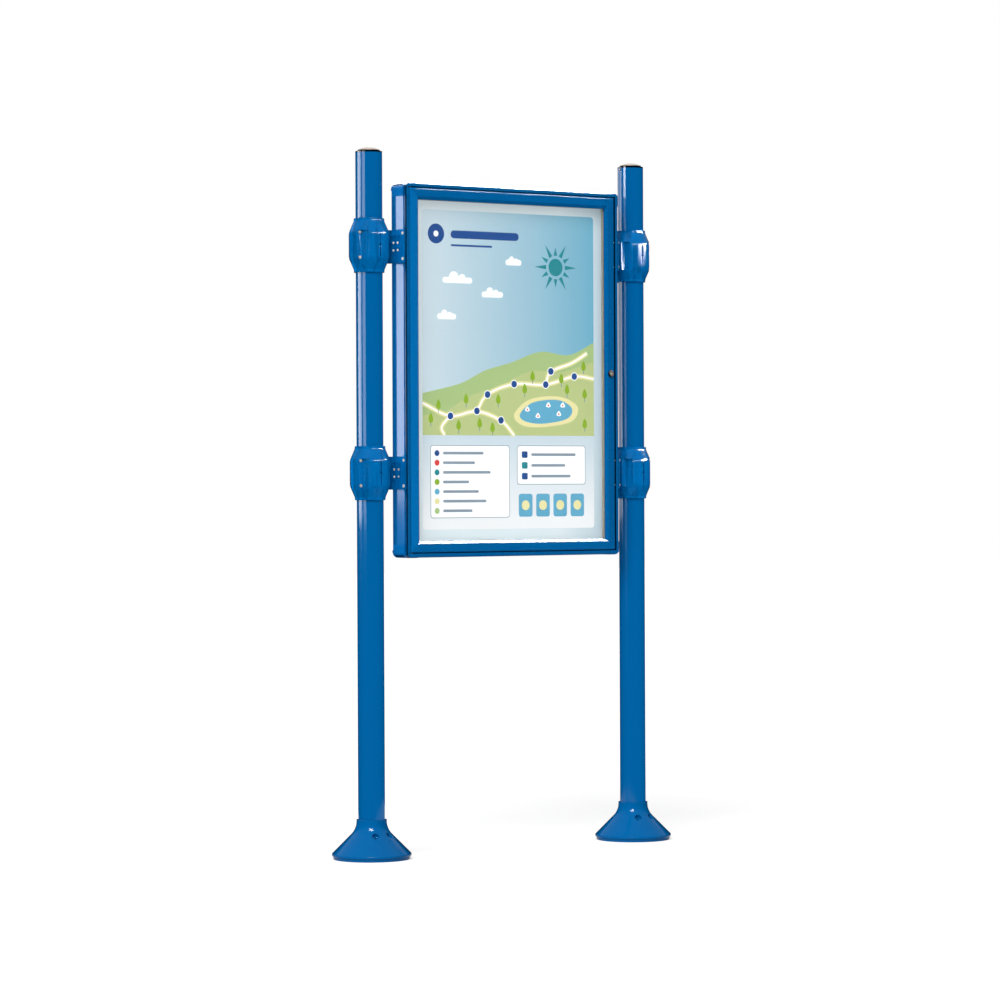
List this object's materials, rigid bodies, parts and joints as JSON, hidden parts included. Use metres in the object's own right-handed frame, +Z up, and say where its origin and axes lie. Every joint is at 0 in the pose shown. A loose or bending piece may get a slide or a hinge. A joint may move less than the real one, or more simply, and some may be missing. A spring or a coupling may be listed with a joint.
{
  "type": "lockable notice board",
  "caption": "Glazed lockable notice case held between round posts by cast clamps, with a side-hinged door, cam lock and conical post covers.",
  "frame": {"origin": "on the ground, midway between the two post axes", "axes": "+Z up along the posts, X along the board, -Y out of the glazed front"},
  "size_m": [1.224, 0.238, 2.1165],
  "materials": {
    "blue_paint": "smooth gloss blue powder coat on extruded aluminium and steel tube",
    "cast_paint": "gloss blue powder coat over slightly uneven cast aluminium",
    "moulded_blue": "satin blue coat on moulded corner castings",
    "bead_grey": "grey-beige glazing bead, matt",
    "black_screw": "black oxide set screws",
    "cap_aluminium": "satin turned aluminium",
    "galvanised_steel": "zinc coated sheet and plate",
    "stainless": "plain stainless fasteners",
    "lock_metal": "bright nickel plate",
    "glass": "clear safety glass",
    "rubber": "matt black seal rubber",
    "white_panel": "white lacquered steel",
    "poster_paper": "printed coated paper"
  },
  "bodies": {
    "stand": {"back_panel": "galvanised_steel", "back_panel_rivets": "stainless", "bottom_hinge_pin": "stainless", "case_bottom_left_corner": "moulded_blue", "case_bottom_right_corner": "moulded_blue", "case_bottom_wall": "blue_paint", "case_left_wall": "blue_paint", "case_right_wall": "blue_paint", "case_top_left_corner": "moulded_blue", "case_top_right_corner": "moulded_blue", "case_top_wall": "blue_paint", "clamp_bolts": "stainless", "clamp_set_screws": "black_screw", "display_panel": "white_panel", "door_seal": "rubber", "left_base_cover": "cast_paint", "left_base_plate": "galvanised_steel", "left_cap_rivet": "stainless", "left_cover_screws": "black_screw", "left_flange_rivets": "stainless", "left_flange_screws": "stainless", "left_lower_clamp_bracket": "cast_paint", "left_lower_clamp_front": "cast_paint", "left_panel_spacer": "galvanised_steel", "left_post": "blue_paint", "left_post_cap": "cap_aluminium", "left_upper_clamp_bracket": "cast_paint", "left_upper_clamp_front": "cast_paint", "lock_keeper": "lock_metal", "poster_sheet": "poster_paper", "right_base_cover": "cast_paint", "right_base_plate": "galvanised_steel", "right_cap_rivet": "stainless", "right_cover_screws": "black_screw", "right_flange_rivets": "stainless", "right_flange_screws": "stainless", "right_lower_clamp_bracket": "cast_paint", "right_lower_clamp_front": "cast_paint", "right_panel_spacer": "galvanised_steel", "right_post": "blue_paint", "right_post_cap": "cap_aluminium", "right_upper_clamp_bracket": "cast_paint", "right_upper_clamp_front": "cast_paint", "top_hinge_pin": "stainless"},
    "door": {"door_left_stile": "blue_paint", "door_right_stile": "blue_paint", "door_top_rail": "blue_paint", "door_bottom_rail": "blue_paint", "door_glass": "glass", "glazing_gasket": "rubber", "left_glazing_bead": "bead_grey", "right_glazing_bead": "bead_grey", "top_glazing_bead": "bead_grey", "bottom_glazing_bead": "bead_grey", "lock_body": "lock_metal", "lock_nut": "lock_metal"},
    "lock": {"lock_plug": "lock_metal", "lock_cam": "lock_metal", "cam_screw": "stainless"}
  },
  "joints": [
    {"name": "door_hinge", "type": "hinge", "parent": "stand", "child": "door", "pos_m": [-0.3785, -0.0505, 1.455], "axis": [0, 0, -1], "range_deg": [0, 105]},
    {"name": "lock_turn", "type": "hinge", "parent": "door", "child": "lock", "pos_m": [0.3685, -0.049, 1.455], "axis": [0, -1, 0], "range_deg": [0, 90]}
  ]
}
